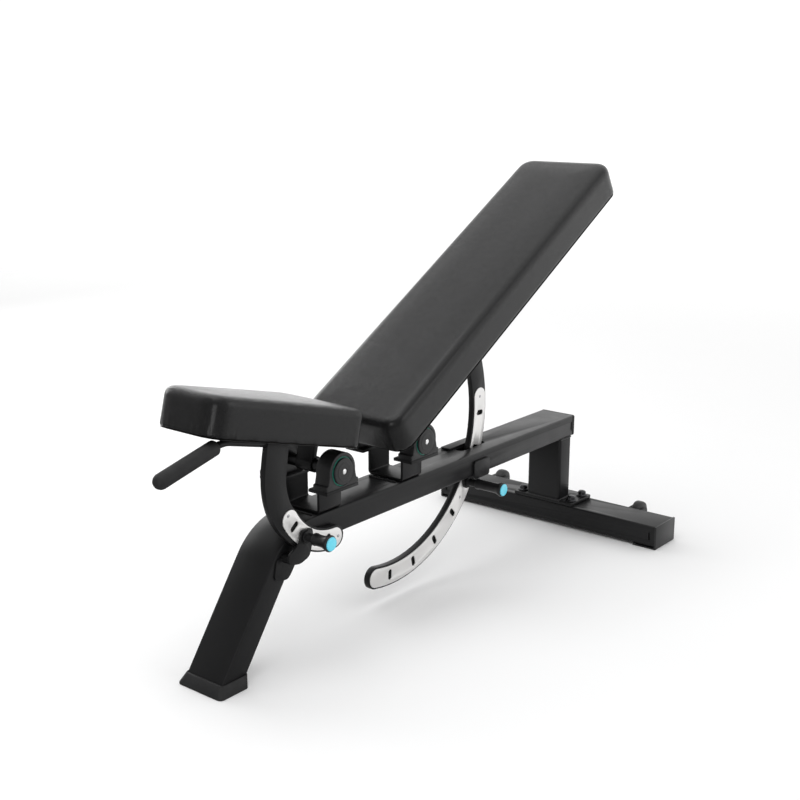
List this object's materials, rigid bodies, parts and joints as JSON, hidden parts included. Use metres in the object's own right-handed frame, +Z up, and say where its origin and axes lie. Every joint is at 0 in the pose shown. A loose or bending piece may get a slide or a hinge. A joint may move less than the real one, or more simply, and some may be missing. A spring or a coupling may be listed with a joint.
{
  "type": "adjustable weight bench",
  "caption": "Adjustable weight bench: hinged seat and backrest pads on a bent tube frame, slotted locking ladders with pull pins, a lift handle and transport wheels.",
  "frame": {"origin": "on the floor, at the middle of the footprint's bounding box", "axes": "+X towards the side of the latch pins and the lift handle, +Y from the seat end towards the backrest end, +Z up"},
  "size_m": [0.624, 1.3991, 0.8756],
  "materials": {
    "frame_paint": "satin",
    "boot_rubber": "matte",
    "cap_plastic": "satin",
    "bolt_steel": "satin",
    "housing_plastic": "satin",
    "seal_teal": "satin",
    "wheel_plastic": "satin",
    "axle_steel": "satin",
    "pad_leather": "satin",
    "board_wood": "matte",
    "grip_rubber": "matte",
    "scale_steel": "satin",
    "spring_steel": "satin",
    "knob_plastic": "satin",
    "knob_blue": "gloss"
  },
  "bodies": {
    "frame": {"main_beam": "frame_paint", "front_boot": "boot_rubber", "beam_end_cap": "cap_plastic", "rear_post": "frame_paint", "crossbar": "frame_paint", "crossbar_plate": "frame_paint", "crossbar_bolt_1": "bolt_steel", "crossbar_bolt_2": "bolt_steel", "crossbar_bolt_3": "bolt_steel", "crossbar_bolt_4": "bolt_steel", "crossbar_foot_left": "cap_plastic", "crossbar_foot_right": "cap_plastic", "wheel_fork_left": "frame_paint", "wheel_fork_right": "frame_paint", "wheel_bolt_left": "bolt_steel", "wheel_bolt_right": "bolt_steel", "slot_guide": "frame_paint", "seat_bracket": "frame_paint", "seat_pillow_block_left": "housing_plastic", "seat_pillow_block_right": "housing_plastic", "seat_seal_ring_left": "seal_teal", "seat_seal_ring_right": "seal_teal", "back_bracket": "frame_paint", "back_pillow_block_left": "housing_plastic", "back_pillow_block_right": "housing_plastic", "back_seal_ring_left": "seal_teal", "back_seal_ring_right": "seal_teal", "seat_latch_bracket": "frame_paint", "seat_latch_sleeve": "frame_paint", "seat_latch_spring": "spring_steel", "back_latch_bracket": "frame_paint", "back_latch_sleeve": "frame_paint", "back_latch_spring": "spring_steel"},
    "seat": {"seat_axle": "axle_steel", "seat_axle_cap_left": "cap_plastic", "seat_axle_cap_right": "cap_plastic", "seat_pad": "pad_leather", "seat_board": "board_wood", "seat_frame": "frame_paint", "seat_handle_bar": "frame_paint", "seat_handle_grip": "grip_rubber", "seat_ladder": "frame_paint", "seat_scale_plate": "scale_steel"},
    "back": {"back_axle": "axle_steel", "back_axle_cap_left": "cap_plastic", "back_axle_cap_right": "cap_plastic", "back_pad": "pad_leather", "back_board": "board_wood", "back_frame": "frame_paint", "back_ladder": "frame_paint", "back_scale_plate": "scale_steel"},
    "seat_pin": {"seat_pin_rod": "axle_steel", "seat_pin_knob": "knob_plastic", "seat_pin_cap": "knob_blue"},
    "back_pin": {"back_pin_rod": "axle_steel", "back_pin_knob": "knob_plastic", "back_pin_cap": "knob_blue"},
    "wheel_left": {"wheel_left": "wheel_plastic"},
    "wheel_right": {"wheel_right": "wheel_plastic"}
  },
  "joints": [
    {"name": "seat_tilt", "type": "hinge", "parent": "frame", "child": "seat", "pos_m": [0, -0.285, 0.3575], "axis": [1, 0, 0], "range_deg": [-30, 15]},
    {"name": "back_recline", "type": "hinge", "parent": "frame", "child": "back", "pos_m": [0, -0.035, 0.3575], "axis": [1, 0, 0], "range_deg": [-30, 60]},
    {"name": "seat_pin_slide", "type": "slide", "parent": "frame", "child": "seat_pin", "axis": [1, 0, 0], "range_m": [-0.014, 0], "deforming": ["seat_latch_spring"]},
    {"name": "back_pin_slide", "type": "slide", "parent": "frame", "child": "back_pin", "axis": [1, 0, 0], "range_m": [-0.014, 0], "deforming": ["back_latch_spring"]},
    {"name": "wheel_left_spin", "type": "hinge", "parent": "frame", "child": "wheel_left", "pos_m": [-0.202, 0.6745, 0.039], "axis": [1, 0, 0], "continuous": true},
    {"name": "wheel_right_spin", "type": "hinge", "parent": "frame", "child": "wheel_right", "pos_m": [0.202, 0.6745, 0.039], "axis": [1, 0, 0], "continuous": true}
  ]
}
